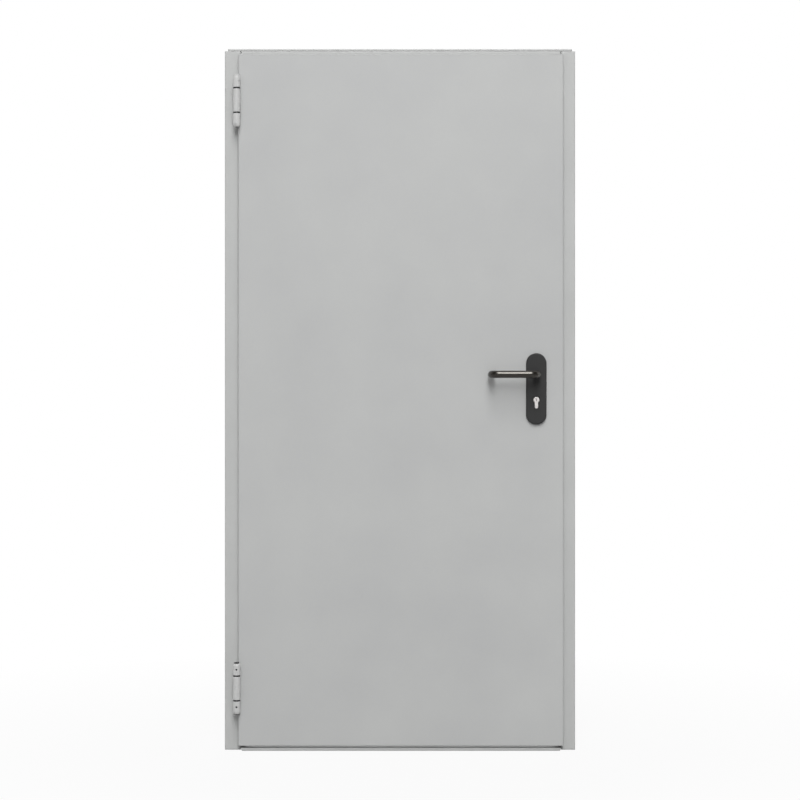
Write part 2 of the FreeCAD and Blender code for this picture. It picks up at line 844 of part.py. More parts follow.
bolt_x = (forend_back - cell("bolt_length"), tray_right)
bolt_play = cell("bolt_play")
room_x = (bolt_x[0] - bolt_play, tray_right + over)
case_block = box("case_block", case_x, case_y, case_z)
lock_case = cut(
    "lock_case_cut",
    case_block,
    [
        bolt_block("case_latch_room", latch_z, cell("latch_height"), bolt_play, room_x),
        bolt_block("case_dead_room", dead_z, cell("dead_height"), bolt_play, room_x),
        spindle_hole("case_spindle", spindle_r),
        profile_solid("case_key", through, play),
    ],
)
node("lock_case", lock_case)

forend_block = box("forend_block", (forend_back, tray_right), forend_y, forend_z)
lock_forend = cut(
    "lock_forend_cut",
    forend_block,
    [
        bolt_block("forend_latch_room", latch_z, cell("latch_height"), bolt_play, room_x),
        bolt_block("forend_dead_room", dead_z, cell("dead_height"), bolt_play, room_x),
    ],
)
node("lock_forend", lock_forend)
node("latch_bolt", bolt_block("latch_block", latch_z, cell("latch_height"), 0, bolt_x))
node("dead_bolt", bolt_block("dead_block", dead_z, cell("dead_height"), 0, bolt_x))

# Profile cylinder with a key slot at each end
proud = cell("plate_thick") + cell("profile_proud")
cylinder_y = (leaf_front - proud, tray_back + proud)
slot_x = (
    spindle_x - cell("keyway_width") * 0.5,
    spindle_x + cell("keyway_width") * 0.5,
)
slot_z = (key_z - cell("keyway_height") * 0.4, key_z + cell("keyway_height") * 0.6)


def plug_groove(name, y):
    """Ring-shaped cutter around the plug at one end of the cylinder."""
    deep = y[1] - y[0]
    start = (spindle_x, y[0], key_z)
    rim = rod(f"{name}_rim", cell("plug_radius") + cell("plug_groove"), start, deep, "y")
    middle = rod(f"{name}_middle", cell("plug_radius"), start, deep, "y")
    return cut(f"{name}_ring", rim, [middle])


groove = cell("plug_groove")
profile_cylinder = cut(
    "profile_cylinder_cut",
    round_edges(
        "profile_cylinder_round",
        profile_solid("profile_cylinder_body", cylinder_y, 0),
        cell("profile_edge"),
        lambda p: near(p.y, cylinder_y[0]) or near(p.y, cylinder_y[1]),
    ),
    [
        box("front_keyway", slot_x, (cylinder_y[0] - over, cylinder_y[0] + cell("keyway_depth")), slot_z),
        box("rear_keyway", slot_x, (cylinder_y[1] - cell("keyway_depth"), cylinder_y[1] + over), slot_z),
        plug_groove("front_groove", (cylinder_y[0], cylinder_y[0] + groove)),
        plug_groove("rear_groove", (cylinder_y[1] - groove, cylinder_y[1])),
    ],
)
node("profile_cylinder", profile_cylinder)

# Handle plates: round-ended, with a rolled front edge
neck_hole = cell("lever_radius") + cell("lever_play")
plate_top = spindle_z + cell("plate_above")
plate_low = plate_top - cell("plate_total")
plate_r = cell("plate_half")


def handle_plate(name, y, front):
    body = new_body(f"{name}_body")
    outline = new_sketch(body, f"{name}_outline", "XZ_Plane")
    top_z = plate_top - plate_r
    low_z = plate_low + plate_r
    left = spindle_x - plate_r
    right = spindle_x + plate_r
    corners = [(left, low_z), (right, low_z), (right, top_z), (left, top_z)]
    spots = [Vector(x.value, z.value, 0) for x, z in corners]
    side_r = outline.addGeometry(Part.LineSegment(spots[1], spots[2]), False)
    side_l = outline.addGeometry(Part.LineSegment(spots[3], spots[0]), False)
    normal = Vector(0, 0, 1)
    top_circle = Part.Circle(Vector(spindle_x.value, top_z.value, 0), normal, plate_r.value)
    low_circle = Part.Circle(Vector(spindle_x.value, low_z.value, 0), normal, plate_r.value)
    top_arc = outline.addGeometry(Part.ArcOfCircle(top_circle, 0, pi), False)
    low_arc = outline.addGeometry(Part.ArcOfCircle(low_circle, pi, 2 * pi), False)
    for a, a_end, b, b_end in (
        (side_r, 2, top_arc, 1),
        (top_arc, 2, side_l, 1),
        (side_l, 2, low_arc, 1),
        (low_arc, 2, side_r, 1),
    ):
        outline.addConstraint(Sketcher.Constraint("Tangent", a, a_end, b, b_end))
    pin_point(outline, top_arc, 3, spindle_x, top_z)
    pin_point(outline, low_arc, 3, spindle_x, low_z)
    number = outline.addConstraint(Sketcher.Constraint("Radius", top_arc, plate_r.value))
    outline.setExpression(f"Constraints[{number}]", plate_r.text)
    pad(body, f"{name}_pad", outline, y[1] - y[0], -y[1])
    soften(body, f"{name}_edge", cell("plate_edge"), lambda p: near(p.y, front))
    tools = [
        spindle_hole(f"{name}_neck", neck_hole),
        profile_solid(f"{name}_key", through, cell("plate_play")),
    ]
    node(name, cut(f"{name}_cut", body, tools))


outer_plate_front = leaf_front - cell("plate_thick")
inner_plate_back = tray_back + cell("plate_thick")
handle_plate("outer_plate", (outer_plate_front, leaf_front), outer_plate_front)
handle_plate("inner_plate", (tray_back, inner_plate_back), inner_plate_back)


# Levers: one round bar bent twice, from the neck along the grip and back towards the leaf
def lever(name, face, out):
    """out is -1 for the front lever and +1 for the rear one."""
    radius = cell("lever_radius")
    bend = cell("lever_bend")
    grip_y = face + cell("lever_reach") * out
    bend_y = grip_y - bend * out
    end_y = face + cell("lever_end") * out
    far_x = spindle_x - cell("lever_span")
    neck_y = face + cell("neck_play") * out
    neck_len = (bend_y - neck_y) * out
    end_len = (bend_y - end_y) * out

    def leg(part, x, first, length):
        start_y = first if out > 0 else first - length
        return rod(f"{name}_{part}", radius, (x, start_y, spindle_z), length, "y")

    neck = leg("neck", spindle_x, neck_y, neck_len)
    tail = round_edges(
        f"{name}_tail_end",
        leg("tail", far_x, end_y, end_len),
        cell("lever_round"),
        lambda p: near(p.y, end_y),
    )
    grip_len = cell("lever_span") - bend * 2
    grip = rod(f"{name}_grip", radius, (far_x + bend, grip_y, spindle_z), grip_len, "x")
    pieces = [neck, grip, tail]
    near_turn = 0 if out > 0 else -90
    far_turn = 90 if out > 0 else 180
    for part, x, turn in (("near", spindle_x - bend, near_turn), ("far", far_x + bend, far_turn)):
        elbow = doc.addObject("Part::Torus", f"{name}_{part}_elbow")
        elbow.Angle3 = 90
        elbow.Placement = Placement(Vector(), Rotation(Vector(0, 0, 1), turn))
        bind(elbow, "Radius1", bend)
        bind(elbow, "Radius2", radius)
        place(elbow, x, bend_y, spindle_z)
        pieces.append(elbow)
    bar = fuse(f"{name}_bar", pieces)
    side = cell("spindle_side") * 0.5
    socket_y = sorted((face - over * out, face + cell("spindle_end") * out), key=lambda s: s.value)
    socket = box(
        f"{name}_socket",
        (spindle_x - side, spindle_x + side),
        socket_y,
        (spindle_z - side, spindle_z + side),
    )
    node(name, cut(f"{name}_cut", bar, [socket]))


lever("outer_lever", leaf_front, -1)
lever("inner_lever", tray_back, 1)
half_side = cell("spindle_side") * 0.5
node(
    "spindle",
    box(
        "spindle_bar",
        (spindle_x - half_side, spindle_x + half_side),
        (leaf_front - cell("spindle_end"), tray_back + cell("spindle_end")),
        (spindle_z - half_side, spindle_z + half_side),
    ),
)

doc.recompute()
for obj in doc.Objects:
    if "Invalid" in obj.State or "Error" in obj.State:
        raise RuntimeError(f"{obj.Name} failed: {obj.State}")
for name, obj in nodes.items():
    if obj.Shape.isNull() or not obj.Shape.isValid():
        raise RuntimeError(f"{name} has no valid shape")

os.makedirs("parts", exist_ok=True)
for name, obj in nodes.items():
    obj.Shape.exportStep(f"parts/{name}.step")
    b = obj.Shape.BoundBox
    print(
        f"{name}: {len(obj.Shape.Solids)} solid, {obj.Shape.Volume / 1000:.1f} cm3,"
        f" x {b.XMin:.1f} to {b.XMax:.1f}, y {b.YMin:.1f} to {b.YMax:.1f}, z {b.ZMin:.1f} to {b.ZMax:.1f}"
    )
print(len(nodes), "parts")
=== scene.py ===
"""Steel utility door: finishes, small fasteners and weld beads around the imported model.

Metres, +Z up. The front faces -Y, the hinges are on the -X side.
"""

import json
import math

import bpy
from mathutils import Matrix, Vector


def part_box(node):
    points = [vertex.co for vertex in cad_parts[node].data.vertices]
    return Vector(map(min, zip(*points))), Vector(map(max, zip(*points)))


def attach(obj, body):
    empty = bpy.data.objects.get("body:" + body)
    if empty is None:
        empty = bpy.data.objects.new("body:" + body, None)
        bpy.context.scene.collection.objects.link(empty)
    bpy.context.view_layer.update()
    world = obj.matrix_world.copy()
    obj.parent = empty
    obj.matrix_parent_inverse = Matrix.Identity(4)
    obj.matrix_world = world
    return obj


MM = 0.001

# A Mix node names its colour sockets like its number sockets, so they go by their places
MIX_FROM = 6
MIX_TO = 7
MIX_COLOUR = 2

# So does a Random Value node: this one is its number
RANDOM_NUMBER = 1

# Noise stays near its middle, so this part of its range is stretched over the full one
NOISE_SPAN = {"From Min": 0.3, "From Max": 0.7}

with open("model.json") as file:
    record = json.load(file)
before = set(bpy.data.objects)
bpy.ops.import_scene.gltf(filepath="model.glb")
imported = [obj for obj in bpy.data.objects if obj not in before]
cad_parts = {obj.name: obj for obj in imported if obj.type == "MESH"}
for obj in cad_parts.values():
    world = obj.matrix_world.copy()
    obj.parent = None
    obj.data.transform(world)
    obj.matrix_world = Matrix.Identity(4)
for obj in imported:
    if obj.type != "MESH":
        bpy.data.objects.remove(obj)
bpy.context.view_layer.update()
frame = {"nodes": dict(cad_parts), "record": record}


# Small helpers for colours and nodes
def linear(hex_colour):
    """sRGB hex to linear RGBA."""
    rgb = [int(hex_colour[i : i + 2], 16) / 255 for i in (1, 3, 5)]
    return tuple(c / 12.92 if c <= 0.04045 else ((c + 0.055) / 1.055) ** 2.4 for c in rgb) + (1.0,)


def per_mm(size_mm):
    """Texture scale, in repeats per metre, of a pattern with features of that size."""
    return 1000.0 / size_mm


def add(tree, kind, inputs=None, **settings):
    """One node with its settings; an input is a value or the socket that feeds it."""
    node = tree.nodes.new(kind)
    for name, value in settings.items():
        setattr(node, name, value)
    for name, value in (inputs or {}).items():
        if isinstance(value, bpy.types.NodeSocket):
            tree.links.new(value, node.inputs[name])
        else:
            node.inputs[name].default_value = value
    return node


def new_material(name, **shader):
    """A Principled material with its constant sockets set; returns it with its tree, shader and
    coordinates."""
    material = bpy.data.materials.new(name)
    material.use_nodes = True
    tree = material.node_tree
    principled = tree.nodes["Principled BSDF"]
    for socket, value in shader.items():
        principled.inputs[socket.replace("_", " ")].default_value = value
    place = add(tree, "ShaderNodeTexCoord").outputs["Object"]
    return material, tree, principled, place


def dress(tree, principled, **patterns):
    """Feed the shader's sockets from the patterns."""
    for socket, pattern in patterns.items():
        tree.links.new(pattern, principled.inputs[socket.replace("_", " ")])


# Finishes
def powder_coat(name, dark, light, cloud_mm, peel_mm, edge_mm, roughness, specular, speck_share):
    """Polyester powder coat on steel: an even satin skin, faintly cloudy where the film is
    thicker or thinner, with a fine orange peel that breaks up the gloss. The film runs round
    every edge, which shades off there. Peel and edges are drawn coarser than real, so that
    they show at the size of a whole door."""
    material, tree, principled, place = new_material(name, IOR=1.5, Specular_IOR_Level=specular)
    inputs = {"Vector": place, "Scale": per_mm(cloud_mm), "Detail": 3.0, "Roughness": 0.55}
    cloud = add(tree, "ShaderNodeTexNoise", inputs).outputs["Fac"]
    inputs = {"Vector": place, "Scale": per_mm(peel_mm * 2), "Detail": 1.0}
    speck = add(tree, "ShaderNodeTexNoise", inputs).outputs["Fac"]
    inputs = {"Factor": speck_share, "A": cloud, "B": speck}
    blend = add(tree, "ShaderNodeMix", inputs, data_type="FLOAT").outputs["Result"]
    tone = add(tree, "ShaderNodeMapRange", {"Value": blend, **NOISE_SPAN}).outputs["Result"]
    inputs = {"Factor": tone, MIX_FROM: linear(dark), MIX_TO: linear(light)}
    colour = add(tree, "ShaderNodeMix", inputs, data_type="RGBA").outputs[MIX_COLOUR]
    drift = 0.05
    inputs = {"Value": cloud, "To Min": roughness - drift, "To Max": roughness + drift, **NOISE_SPAN}
    shine = add(tree, "ShaderNodeMapRange", inputs).outputs["Result"]
    inputs = {"Vector": place, "Scale": per_mm(peel_mm), "Detail": 1.0}
    peel = add(tree, "ShaderNodeTexNoise", inputs).outputs["Fac"]
    edge = add(tree, "ShaderNodeBevel", {"Radius": edge_mm * MM}, samples=8).outputs["Normal"]
    inputs = {"Height": peel, "Normal": edge, "Strength": 0.12, "Distance": 0.05 * MM}
    relief = add(tree, "ShaderNodeBump", inputs).outputs["Normal"]
    dress(tree, principled, Base_Color=colour, Roughness=shine, Normal=relief)
    return material


def moulded_plastic(name, dark, light, grain_mm, roughness, specular, gloss, grain_strength):
    """Black plastic from a spark-eroded mould: near black, with a fine even grain, a slow haze
    and a gloss that may be tinted. The grain is drawn coarser than the real tenth of a
    millimetre, so that it shows."""
    material, tree, principled, place = new_material(
        name, IOR=1.5, Specular_IOR_Level=specular, Specular_Tint=linear(gloss)
    )
    haze_mm = grain_mm * 20
    inputs = {"Vector": place, "Scale": per_mm(grain_mm), "Detail": 2.0}
    grain = add(tree, "ShaderNodeTexNoise", inputs).outputs["Fac"]
    inputs = {"Vector": place, "Scale": per_mm(haze_mm), "Detail": 2.0}
    haze = add(tree, "ShaderNodeTexNoise", inputs).outputs["Fac"]
    inputs = {"Factor": 0.5, "A": grain, "B": haze}
    blend = add(tree, "ShaderNodeMix", inputs, data_type="FLOAT").outputs["Result"]
    tone = add(tree, "ShaderNodeMapRange", {"Value": blend, **NOISE_SPAN}).outputs["Result"]
    inputs = {"Factor": tone, MIX_FROM: linear(dark), MIX_TO: linear(light)}
    colour = add(tree, "ShaderNodeMix", inputs, data_type="RGBA").outputs[MIX_COLOUR]
    drift = 0.03
    inputs = {"Value": haze, "To Min": roughness - drift, "To Max": roughness + drift, **NOISE_SPAN}
    shine = add(tree, "ShaderNodeMapRange", inputs).outputs["Result"]
    inputs = {"Height": grain, "Strength": grain_strength, "Distance": 0.05 * MM}
    relief = add(tree, "ShaderNodeBump", inputs).outputs["Normal"]
    dress(tree, principled, Base_Color=colour, Roughness=shine, Normal=relief)
    return material


def plated_metal(name, dark, light, spangle_mm, streak, roughness):
    """Plated steel or brass: a bare metal skin with a faint spangle and fine streaks along the
    way it was drawn. The streaks are drawn coarser than real, so that they show."""
    material, tree, principled, place = new_material(name, Metallic=1.0)
    streak_mm = spangle_mm / 4
    inputs = {"Vector": place, "Scale": per_mm(spangle_mm), "Detail": 3.0}
    spangle = add(tree, "ShaderNodeTexNoise", inputs).outputs["Fac"]
    tone = add(tree, "ShaderNodeMapRange", {"Value": spangle, **NOISE_SPAN}).outputs["Result"]
    inputs = {"Factor": tone, MIX_FROM: linear(dark), MIX_TO: linear(light)}
    colour = add(tree, "ShaderNodeMix", inputs, data_type="RGBA").outputs[MIX_COLOUR]
    drift = 0.05
    inputs = {"Value": spangle, "To Min": roughness - drift, "To Max": roughness + drift, **NOISE_SPAN}
    shine = add(tree, "ShaderNodeMapRange", inputs).outputs["Result"]
    along = add(tree, "ShaderNodeMapping", {"Vector": place, "Scale": streak}).outputs["Vector"]
    inputs = {"Vector": along, "Scale": per_mm(streak_mm), "Detail": 2.0}
    drawn = add(tree, "ShaderNodeTexNoise", inputs).outputs["Fac"]
    inputs = {"Height": drawn, "Strength": 0.15, "Distance": 0.03 * MM}
    relief = add(tree, "ShaderNodeBump", inputs).outputs["Normal"]
    dress(tree, principled, Base_Color=colour, Roughness=shine, Normal=relief)
    return material


def sealing_rubber(name):
    """Extruded rubber: matt black with a greyish bloom and fine lines along the extrusion. The
    lines are drawn coarser than real, so that they show."""
    material, tree, principled, place = new_material(name, IOR=1.5, Specular_IOR_Level=0.3)
    bloom_mm = 18
    line_mm = 1.2
    bloom_span = {"From Min": 0.3, "From Max": 0.75}
    inputs = {"Vector": place, "Scale": per_mm(bloom_mm), "Detail": 3.0}
    bloom = add(tree, "ShaderNodeTexNoise", inputs).outputs["Fac"]
    tone = add(tree, "ShaderNodeMapRange", {"Value": bloom, **bloom_span}).outputs["Result"]
    inputs = {"Factor": tone, MIX_FROM: linear("#1C1C1C"), MIX_TO: linear("#2B2B2A")}
    colour = add(tree, "ShaderNodeMix", inputs, data_type="RGBA").outputs[MIX_COLOUR]
    inputs = {"Value": bloom, "To Min": 0.7, "To Max": 0.8, **bloom_span}
    shine = add(tree, "ShaderNodeMapRange", inputs).outputs["Result"]
    inputs = {"Vector": place, "Scale": (1.0, 1.0, 0.02)}
    along = add(tree, "ShaderNodeMapping", inputs).outputs["Vector"]
    inputs = {"Vector": along, "Scale": per_mm(line_mm), "Detail": 1.0}
    lines = add(tree, "ShaderNodeTexNoise", inputs).outputs["Fac"]
    inputs = {"Height": lines, "Strength": 0.3, "Distance": 0.08 * MM}
    relief = add(tree, "ShaderNodeBump", inputs).outputs["Normal"]
    dress(tree, principled, Base_Color=colour, Roughness=shine, Normal=relief)
    return material


def honeycomb_board(name):
    """Kraft paper honeycomb: brown paper cell walls, with the hollow cell middles painted darker as
    painted shade; seen only where the leaf is cut open.
    """
    material, tree, principled, place = new_material(name, Roughness=0.9, IOR=1.45)
    cell_mm = 16
    wall_share = 0.12
    inputs = {"Vector": place, "Scale": per_mm(cell_mm)}
    cells = add(tree, "ShaderNodeTexVoronoi", inputs, feature="DISTANCE_TO_EDGE").outputs["Distance"]
    # Darker away from the paper walls: painted shade in the hollow cells
    tone = add(tree, "ShaderNodeMapRange", {"Value": cells, "From Max": wall_share}).outputs["Result"]
    inputs = {"Factor": tone, MIX_FROM: linear("#B08B5E"), MIX_TO: linear("#7A5C3B")}
    colour = add(tree, "ShaderNodeMix", inputs, data_type="RGBA").outputs[MIX_COLOUR]
    inputs = {"Height": cells, "Strength": 0.4, "Distance": 0.5 * MM}
    relief = add(tree, "ShaderNodeBump", inputs).outputs["Normal"]
    dress(tree, principled, Base_Color=colour, Normal=relief)
    return material


UPRIGHT_STREAK = (1.0, 1.0, 0.1)
DEEP_STREAK = (1.0, 0.1, 1.0)
WHITE_GLOSS = "#FFFFFF"
WARM_GLOSS = "#FFFAF2"

finishes = {
    # The leaf's large sheets: calm light grey with slow clouds
    "leaf_paint": powder_coat(
        "light_grey_powder_coat_leaf", "#B9BABA", "#BFC0BF",
        cloud_mm=260, peel_mm=3, edge_mm=5, roughness=0.5, specular=0.5, speck_share=0.15,
    ),
    # The folded frame: the same grey, a touch lighter
    "frame_paint": powder_coat(
        "light_grey_powder_coat_frame", "#BBBCBB", "#C1C2C1",
        cloud_mm=180, peel_mm=3, edge_mm=5, roughness=0.5, specular=0.5, speck_share=0.15,
    ),
    # The threshold: duller than the leaf and a little darker
    "sill_paint": powder_coat(
        "light_grey_powder_coat_sill", "#B1B2B1", "#B9BAB9",
        cloud_mm=60, peel_mm=3, edge_mm=3, roughness=0.75, specular=0.2, speck_share=0.2,
    ),
    # Hinges: paler and mottled, with a coat sprayed over turned steel
    "hinge_steel": powder_coat(
        "pale_grey_sprayed_steel", "#BFC0BF", "#CDCDCC",
        cloud_mm=9, peel_mm=2, edge_mm=2, roughness=0.45, specular=0.5, speck_share=0.35,
    ),
    # Pin of the lower hinge: blackened and lacquered, a satin black; its black also stands in for the
    # shade inside the winding holes, painted shade there
    "pin_steel": powder_coat(
        "blackened_steel_painted_hole_shade", "#191918", "#232322",
        cloud_mm=6, peel_mm=1.5, edge_mm=1.5, roughness=0.4, specular=0.5, speck_share=0.4,
    ),
    # Bearing washers: smooth deep black rings
    "washer_plastic": moulded_plastic(
        "black_acetal", "#161616", "#1D1D1D",
        grain_mm=0.8, roughness=0.5, specular=0.4, gloss=WHITE_GLOSS, grain_strength=0.1,
    ),
    "seal_rubber": sealing_rubber("black_epdm"),
    # Box behind the strike openings: plain dull black
    "box_plastic": moulded_plastic(
        "black_polypropylene", "#191919", "#222222",
        grain_mm=1.5, roughness=0.55, specular=0.4, gloss=WHITE_GLOSS, grain_strength=0.15,
    ),
    # Handle plates: grained, so they look dark grey beside the lever
    "plate_plastic": moulded_plastic(
        "black_nylon_plate", "#323232", "#373737",
        grain_mm=1.6, roughness=0.6, specular=0.3, gloss=WHITE_GLOSS, grain_strength=0.25,
    ),
    # Levers: nearly smooth, so a long highlight runs along the bar, faintly warm
    "lever_plastic": moulded_plastic(
        "black_nylon_lever", "#13100C", "#181410",
        grain_mm=1.2, roughness=0.24, specular=1.0, gloss=WARM_GLOSS, grain_strength=0.02,
    ),
    # Lock, brackets and screws: bluish grey and cloudy
    "zinc_steel": plated_metal(
        "zinc_plated_steel", "#9C9EA0", "#B6B7B8",
        spangle_mm=7, streak=UPRIGHT_STREAK, roughness=0.38,
    ),
    # Profile cylinder: pale and soft, faintly warm
    "nickel": plated_metal(
        "satin_nickel_on_brass", "#F3EFED", "#FAF7F5",
        spangle_mm=5, streak=DEEP_STREAK, roughness=0.55,
    ),
    "core_board": honeycomb_board("kraft_honeycomb"),
}

for part in frame["record"]["subparts"]:
    node = frame["nodes"][part["node"]]
    node.data.materials.clear()
    node.data.materials.append(finishes[part["material_slot"]])


# Repeating fasteners and welds
SCREW_SIDES = 32
SOCKET_SIDES = 6
SCREW_SEED = 3

# Shares of a screw head's radius, and the lift of its socket as a share of its height
HEAD_HEIGHT_SHARE = 0.3
CROWN_SHARE = 0.72
SOCKET_SHARE = 0.45
SOCKET_LIFT_SHARE = 0.7

# Smallest and largest ripple of a weld, as shares of its radius
RIPPLE_SIZES = (0.85, 1.15)


def new_tree(name, sizes):
    """A node tree with a geometry input and named sizes; returns it with its group input."""
    tree = bpy.data.node_groups.new(name, "GeometryNodeTree")
    tree.interface.new_socket("Geometry", in_out="INPUT", socket_type="NodeSocketGeometry")
    for label, kind in sizes:
        tree.interface.new_socket(label, in_out="INPUT", socket_type=kind)
    tree.interface.new_socket("Geometry", in_out="OUTPUT", socket_type="NodeSocketGeometry")
    return tree, add(tree, "NodeGroupInput").outputs


def close_tree(tree, instances, material):
    """Realize the instances, give them their finish and hand them out."""
    real = add(tree, "GeometryNodeRealizeInstances", {"Geometry": instances}).outputs["Geometry"]
    inputs = {"Geometry": real, "Material": material}
    done = add(tree, "GeometryNodeSetMaterial", inputs).outputs["Geometry"]
    add(tree, "NodeGroupOutput", {"Geometry": done})


def weld_tree(name, material):
    """Ripples of a weld bead along every edge of the mesh."""
    tree, given = new_tree(
        name, [("Pitch", "NodeSocketFloat"), ("Radius", "NodeSocketFloat"), ("Seed", "NodeSocketInt")]
    )
    line = add(tree, "GeometryNodeMeshToCurve", {"Mesh": given["Geometry"]}).outputs["Curve"]
    inputs = {"Curve": line, "Length": given["Pitch"]}
    steps = add(tree, "GeometryNodeCurveToPoints", inputs, mode="LENGTH").outputs["Points"]
    inputs = {"Radius": given["Radius"], "Subdivisions": 2}
    drop = add(tree, "GeometryNodeMeshIcoSphere", inputs).outputs["Mesh"]
    smallest, largest = RIPPLE_SIZES
    inputs = {"Min": smallest, "Max": largest, "Seed": given["Seed"]}
    size = add(tree, "FunctionNodeRandomValue", inputs).outputs[RANDOM_NUMBER]
    inputs = {"Points": steps, "Instance": drop, "Scale": size}
    ripples = add(tree, "GeometryNodeInstanceOnPoints", inputs).outputs["Instances"]
    close_tree(tree, ripples, material)
    return tree


def screw_tree(name, material):
    """Raised countersunk screws with a hexagon socket, one on every point, turned to its facing."""
    tree, given = new_tree(
        name,
        [
            ("Head Radius", "NodeSocketFloat"),
            ("Head Height", "NodeSocketFloat"),
            ("Socket Radius", "NodeSocketFloat"),
            ("Seed", "NodeSocketInt"),
        ],
    )
    inputs = {0: given["Head Radius"], 1: CROWN_SHARE}
    crown = add(tree, "ShaderNodeMath", inputs, operation="MULTIPLY").outputs["Value"]
    inputs = {
        "Vertices": SCREW_SIDES,
        "Radius Top": crown,
        "Radius Bottom": given["Head Radius"],
        "Depth": given["Head Height"],
    }
    head = add(tree, "GeometryNodeMeshCone", inputs).outputs["Mesh"]
    inputs = {"Vertices": SOCKET_SIDES, "Radius": given["Socket Radius"], "Depth": given["Head Height"]}
    key = add(tree, "GeometryNodeMeshCylinder", inputs).outputs["Mesh"]
    inputs = {0: given["Head Height"], 1: SOCKET_LIFT_SHARE}
    shift = add(tree, "ShaderNodeMath", inputs, operation="MULTIPLY").outputs["Value"]
    lift = add(tree, "ShaderNodeCombineXYZ", {"Z": shift}).outputs["Vector"]
    key = add(tree, "GeometryNodeTransform", {"Geometry": key, "Translation": lift}).outputs["Geometry"]
    inputs = {"Mesh 1": head, "Mesh 2": key}
    settings = {"operation": "DIFFERENCE", "solver": "EXACT"}
    screw = add(tree, "GeometryNodeMeshBoolean", inputs, **settings).outputs["Mesh"]
    facing = add(tree, "GeometryNodeInputNamedAttribute", {"Name": "facing"}, data_type="FLOAT_VECTOR")
    inputs = {"Vector": facing.outputs["Attribute"]}
    turned = add(tree, "FunctionNodeAlignRotationToVector", inputs, axis="Z").outputs["Rotation"]
    inputs = {"Min": 0.0, "Max": math.tau, "Seed": given["Seed"]}
    twist = add(tree, "FunctionNodeRandomValue", inputs).outputs[RANDOM_NUMBER]
    spin = add(tree, "ShaderNodeCombineXYZ", {"Z": twist}).outputs["Vector"]
    inputs = {"Rotation": turned, "Rotate By": spin}
    twisted = add(tree, "FunctionNodeRotateRotation", inputs, rotation_space="LOCAL")
    inputs = {
        "Points": given["Geometry"],
        "Instance": screw,
        "Rotation": twisted.outputs["Rotation"],
    }
    placed = add(tree, "GeometryNodeInstanceOnPoints", inputs).outputs["Instances"]
    close_tree(tree, placed, material)
    return tree


def grow(name, points, edges, tree, sizes, body, facing=None):
    """Run a tree on points and edges, keep the result as a plain mesh and let it ride on a body."""
    mesh = bpy.data.meshes.new(name)
    mesh.from_pydata(points, edges, [])
    if facing is not None:
        attribute = mesh.attributes.new("facing", "FLOAT_VECTOR", "POINT")
        attribute.data.foreach_set("vector", [c for direction in facing for c in direction])
    piece = bpy.data.objects.new(name, mesh)
    bpy.context.scene.collection.objects.link(piece)
    modifier = piece.modifiers.new(name, "NODES")
    modifier.node_group = tree
    for item in tree.interface.items_tree:
        if item.name in sizes:
            modifier[item.identifier] = sizes[item.name]
    graph = bpy.context.evaluated_depsgraph_get()
    made = bpy.data.meshes.new_from_object(piece.evaluated_get(graph))
    piece.modifiers.clear()
    piece.data = made
    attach(piece, body)


def screws(name, spots, radius_mm, body):
    """Zinc-plated screws of one size; spots are (point, facing) pairs."""
    radius = radius_mm * MM
    sizes = {
        "Head Radius": radius,
        "Head Height": radius * HEAD_HEIGHT_SHARE,
        "Socket Radius": radius * SOCKET_SHARE,
        "Seed": SCREW_SEED,
    }
    points = [point for point, _ in spots]
    facing = [direction for _, direction in spots]
    grow(name, points, [], screw_stock, sizes, body, facing)


screw_stock = screw_tree("raised_countersunk_screws", finishes["zinc_steel"])

# Screws of the lock front plate, and the one that holds the profile cylinder
FOREND_SCREW_INSET = 12 * MM
BARREL_RADIUS = 8.5 * MM
forend_low, forend_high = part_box("lock_forend")
forend_mid_y = (forend_low.y + forend_high.y) / 2
key_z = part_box("profile_cylinder")[1].z - BARREL_RADIUS
forend_spots = [
    ((forend_high.x, forend_mid_y, z), (1, 0, 0))
    for z in (forend_low.z + FOREND_SCREW_INSET, key_z, forend_high.z - FOREND_SCREW_INSET)
]
screws("lock_forend_screws", forend_spots, radius_mm=3.4, body="leaf")

# Screws that clamp the handle plates together from inside
PLATE_SCREW_INSET = 22 * MM
plate_low, plate_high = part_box("inner_plate")
plate_mid_x = (plate_low.x + plate_high.x) / 2
plate_spots = [
    ((plate_mid_x, plate_high.y, z), (0, 1, 0))
    for z in (plate_low.z + PLATE_SCREW_INSET, plate_high.z - PLATE_SCREW_INSET)
]
screws("inner_plate_screws", plate_spots, radius_mm=4.2, body="leaf")

# Set screw under the inner lever's neck
NECK_SCREW_OUT = 7 * MM
neck_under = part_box("inner_lever")[0].z
neck_spot = ((plate_mid_x, plate_high.y + NECK_SCREW_OUT, neck_under), (0, 0, -1))
screws("inner_lever_set_screw", [neck_spot], radius_mm=2.6, body="lever_set")

# Screws of the two corner brackets, seen from above and behind
BRACKET_SCREW_STEP = 10 * MM
BRACKET_FLAT = 3 * MM
bracket_spots = []
for bracket, toward in (("hinge_corner_bracket", 1), ("lock_corner_bracket", -1)):
    low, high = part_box(bracket)
    end_x = high.x if toward > 0 else low.x
    mid_y = (low.y + high.y) / 2
    for step in (1, 2):
        x = end_x - toward * BRACKET_SCREW_STEP * step
        bracket_spots.append(((x, mid_y, low.z + BRACKET_FLAT), (0, 0, 1)))
screws("corner_bracket_screws", bracket_spots, radius_mm=3.6, body="frame")


# Weld beads where the hinge flats meet the jamb face and the leaf's edge
WELD = {"Pitch": 1.6 * MM, "Radius": 1.5 * MM, "Seed": 11}
WELD_END = 3 * MM
FLAT_SIDES_X = (-6.3 * MM, -1.3 * MM)
LEAF_WELD_Y = (-18 * MM, -10 * MM)
jamb_face_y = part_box("hinge_jamb")[0].y
leaf_edge_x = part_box("outer_skin")[0].x

